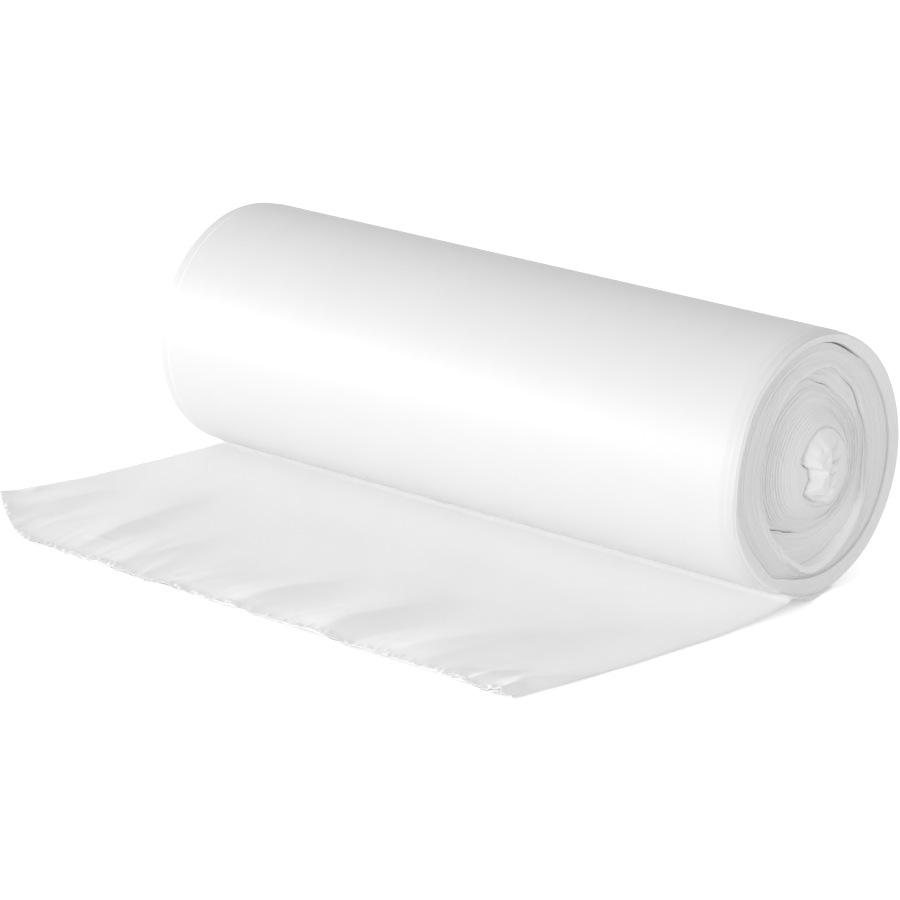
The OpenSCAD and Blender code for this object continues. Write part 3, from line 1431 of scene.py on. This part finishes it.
@dataclass(frozen=True)
class FilmFinish:
    """A satin white film.

    Attributes:
        name: The material's name.
        stretch: How the haze is stretched along the axes.
        scale: The haze's scale.
        light: The film's lighter grey.
        dark: The film's darker grey.
        near_end_painted_light: Its grey on faces that look out of the roll's near end, painted light
            there.
        far_end_painted_shade: Its grey on faces that look out of the roll's far end, painted shade
            there.
        rough: Its roughness.
        bump: Height of its fine creases.
        glow: Share of the light that spreads inside it.
        glow_depth: How far that light goes.
        ior: Its index of refraction.
    """

    name: str
    stretch: Place
    scale: float
    light: float
    dark: float
    near_end_painted_light: float
    far_end_painted_shade: float
    rough: float
    bump: float
    glow: float
    glow_depth: float
    ior: float = 1.5

    def build(self, group: bpy.types.NodeTree) -> bpy.types.Material:
        """Makes the material.

        Args:
            group: The group of haze and painted end shade.

        Returns:
            The material.
        """
        material = bpy.data.materials.new(self.name)
        material.use_nodes = True
        nodes, links = material.node_tree.nodes, material.node_tree.links
        shader = nodes["Principled BSDF"]
        shader.inputs["Roughness"].default_value = self.rough
        shader.inputs["IOR"].default_value = self.ior
        shader.inputs["Subsurface Weight"].default_value = self.glow
        shader.inputs["Subsurface Radius"].default_value = (1, 1, 1)
        shader.inputs["Subsurface Scale"].default_value = self.glow_depth
        haze = nodes.new("ShaderNodeGroup")
        haze.node_tree = group
        haze.inputs["Stretch"].default_value = self.stretch
        haze.inputs["Scale"].default_value = self.scale
        # The two end greys are painted light and painted shade for faces that look along the roll.
        greys = (
            ("Light", self.light),
            ("Dark", self.dark),
            ("Near end painted light", self.near_end_painted_light),
            ("Far end painted shade", self.far_end_painted_shade),
        )
        for socket, grey in greys:
            haze.inputs[socket].default_value = (grey, grey, grey, 1)
        relief = nodes.new("ShaderNodeBump")
        relief.inputs["Strength"].default_value = 1
        relief.inputs["Distance"].default_value = self.bump
        links.new(haze.outputs["Color"], shader.inputs["Base Color"])
        links.new(haze.outputs["Height"], relief.inputs["Height"])
        links.new(relief.outputs["Normal"], shader.inputs["Normal"])
        return material


# Painted shade: the wrap is the same film as the turns and the loose end, with its greys set darker
# than theirs. Its near end faces take a lighter grey, which is painted light.
WRAP_FILM_PAINTED_SHADE = FilmFinish(
    name="wrap_film_painted_shade",
    stretch=(1, 0.25, 0.25),
    scale=60,
    light=0.74,
    dark=0.72,
    near_end_painted_light=0.95,
    far_end_painted_shade=0.76,
    rough=0.5,
    bump=0.1 * MM,
    glow=0.3,
    glow_depth=1.5 * MM,
)
# Painted light: the same film as the wrap, with its greys set lighter. Its far end faces take a
# darker grey, which is painted shade.
EDGE_FILM_PAINTED_LIGHT = FilmFinish(
    name="edge_film_painted_light",
    stretch=(1, 1, 1),
    scale=120,
    light=0.98,
    dark=0.96,
    near_end_painted_light=0.97,
    far_end_painted_shade=0.76,
    rough=0.5,
    bump=0.06 * MM,
    glow=0.2,
    glow_depth=1.5 * MM,
)
# Painted light: the same film as the wrap, with its greys set lighter, and the same on its end
# faces.
LOOSE_FILM_PAINTED_LIGHT = FilmFinish(
    name="loose_film_painted_light",
    stretch=(1, 0.5, 1),
    scale=90,
    light=0.98,
    dark=0.96,
    near_end_painted_light=0.96,
    far_end_painted_shade=0.96,
    rough=0.45,
    bump=0.2 * MM,
    glow=0.0,
    glow_depth=1.0 * MM,
)


@dataclass(frozen=True)
class Lamp:
    """A large soft lamp.

    Attributes:
        name: Its name.
        power: Its power.
        size: Length of its sides.
        place: Where it hangs.
    """

    name: str
    power: float
    size: float
    place: Place

    def hang(self, target: Place) -> None:
        """Hangs the lamp so that it points at a place."""
        lamp = bpy.data.lights.new(self.name, "AREA")
        lamp.shape = "SQUARE"
        lamp.size = self.size
        lamp.energy = self.power
        holder = bpy.data.objects.new(self.name, lamp)
        aim = Vector(target) - Vector(self.place)
        turn = aim.to_track_quat("-Z", "Y").to_matrix().to_4x4()
        holder.matrix_world = Matrix.Translation(self.place) @ turn
        bpy.context.scene.collection.objects.link(holder)


@dataclass
class Studio:
    """The floor, the lamps, the surroundings and the camera."""

    floor_size: float = 12.0
    floor_grey: float = 0.96
    floor_rough: float = 0.9
    # What the floor adds for the camera, and how bright the surroundings are for all else
    floor_glow: float = 0.45
    world_level: float = 0.67
    lamps: tuple[Lamp, ...] = (
        Lamp("key", 358.0, 2.4, (-5.6, -4.1, 0.6)),
        Lamp("fill", 76.0, 1.6, (0.6, -5.0, 0.4)),
    )
    target: Place = (0.0, -0.03, 0.05)
    # The camera: direction it looks from and tilt in degrees, lens and sensor in millimetres
    azimuth: float = 43.38
    elevation: float = 15.81
    tilt: float = 0.86
    lens: float = 164.3
    sensor: float = 36
    clip_end: float = 50
    camera_place: Place = (1.0672, -1.1666, 0.4732)

    @staticmethod
    def seen_rays(nodes: bpy.types.Nodes, links: bpy.types.NodeLinks) -> bpy.types.NodeSocket:
        """Marks the rays by which the camera sees a surface, reflections and glass included.

        Args:
            nodes: The nodes of a material or the world.
            links: Their links.

        Returns:
            A socket that is 1 for those rays and 0 for all others.
        """
        path = nodes.new("ShaderNodeLightPath")
        seen = path.outputs["Is Camera Ray"]
        for ray in ("Is Glossy Ray", "Is Transmission Ray"):
            either = nodes.new("ShaderNodeMath")
            either.operation = "MAXIMUM"
            links.new(seen, either.inputs[0])
            links.new(path.outputs[ray], either.inputs[1])
            seen = either.outputs[0]
        return seen

    def floor(self) -> None:
        """Lays a pale floor that shows white to the camera and keeps the object's shadow."""
        Bench.clear()
        bpy.ops.mesh.primitive_plane_add(size=self.floor_size, location=(0, 0, 0))
        floor = bpy.context.object
        floor.name = "floor"
        material = bpy.data.materials.new("pale_floor")
        material.use_nodes = True
        nodes, links = material.node_tree.nodes, material.node_tree.links
        shader = nodes["Principled BSDF"]
        grey = self.floor_grey
        shader.inputs["Base Color"].default_value = (grey, grey, grey, 1)
        shader.inputs["Roughness"].default_value = self.floor_rough
        shader.inputs["Emission Color"].default_value = (1, 1, 1, 1)
        level = nodes.new("ShaderNodeMath")
        level.operation = "MULTIPLY"
        level.inputs[1].default_value = self.floor_glow
        links.new(self.seen_rays(nodes, links), level.inputs[0])
        links.new(level.outputs[0], shader.inputs["Emission Strength"])
        floor.data.materials.append(material)

    def world(self) -> None:
        """Surrounds the scene with even light, which shows white to the camera."""
        world = bpy.data.worlds.new("surroundings")
        bpy.context.scene.world = world
        world.use_nodes = True
        nodes, links = world.node_tree.nodes, world.node_tree.links
        back = nodes["Background"]
        back.inputs["Color"].default_value = (1, 1, 1, 1)
        level = nodes.new("ShaderNodeMapRange")
        level.inputs["To Min"].default_value = self.world_level
        level.inputs["To Max"].default_value = 1.0
        links.new(self.seen_rays(nodes, links), level.inputs["Value"])
        links.new(level.outputs["Result"], back.inputs["Strength"])

    def camera(self) -> None:
        """Sets the camera where the photograph was taken from."""
        az, el, tilt = (math.radians(a) for a in (self.azimuth, self.elevation, self.tilt))
        back = Vector(
            (math.sin(az) * math.cos(el), -math.cos(az) * math.cos(el), math.sin(el))
        )
        level = Vector((math.cos(az), math.sin(az), 0))
        up = back.cross(level)
        right = math.cos(tilt) * level + math.sin(tilt) * up
        above = -math.sin(tilt) * level + math.cos(tilt) * up
        turn = Matrix((right, above, back)).transposed().to_4x4()
        data = bpy.data.cameras.new("camera")
        data.lens = self.lens
        data.sensor_width = self.sensor
        data.clip_end = self.clip_end
        camera = bpy.data.objects.new("camera", data)
        camera.matrix_world = Matrix.Translation(self.camera_place) @ turn
        bpy.context.scene.collection.objects.link(camera)
        bpy.context.scene.camera = camera

    def build(self) -> None:
        """Builds the studio."""
        self.floor()
        self.world()
        for lamp in self.lamps:
            lamp.hang(self.target)
        self.camera()
        bpy.context.scene.view_settings.view_transform = "Standard"


def main() -> None:
    """Builds the studio and every piece of the roll, in order."""
    logging.basicConfig(level=logging.INFO, format="%(message)s")
    Studio().build()
    roll = Roll()
    haze = HazeAndShadeGroup().build()
    wrap_film_painted_shade = WRAP_FILM_PAINTED_SHADE.build(haze)
    edge_film_painted_light = EDGE_FILM_PAINTED_LIGHT.build(haze)
    loose_film_painted_light = LOOSE_FILM_PAINTED_LIGHT.build(haze)
    wrap = OuterWrap(roll)
    turns = InnerTurns(roll, wrap)
    loose = LooseEnd(roll)
    pieces = [
        wrap.build(wrap_film_painted_shade),
        turns.build(edge_film_painted_light),
        Heart(roll, turns).build(edge_film_painted_light),
        loose.build(loose_film_painted_light),
        TornFringe(loose).build(loose_film_painted_light),
    ]
    for piece in pieces:
        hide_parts(NODE)


if __name__ == "__main__":
    main()
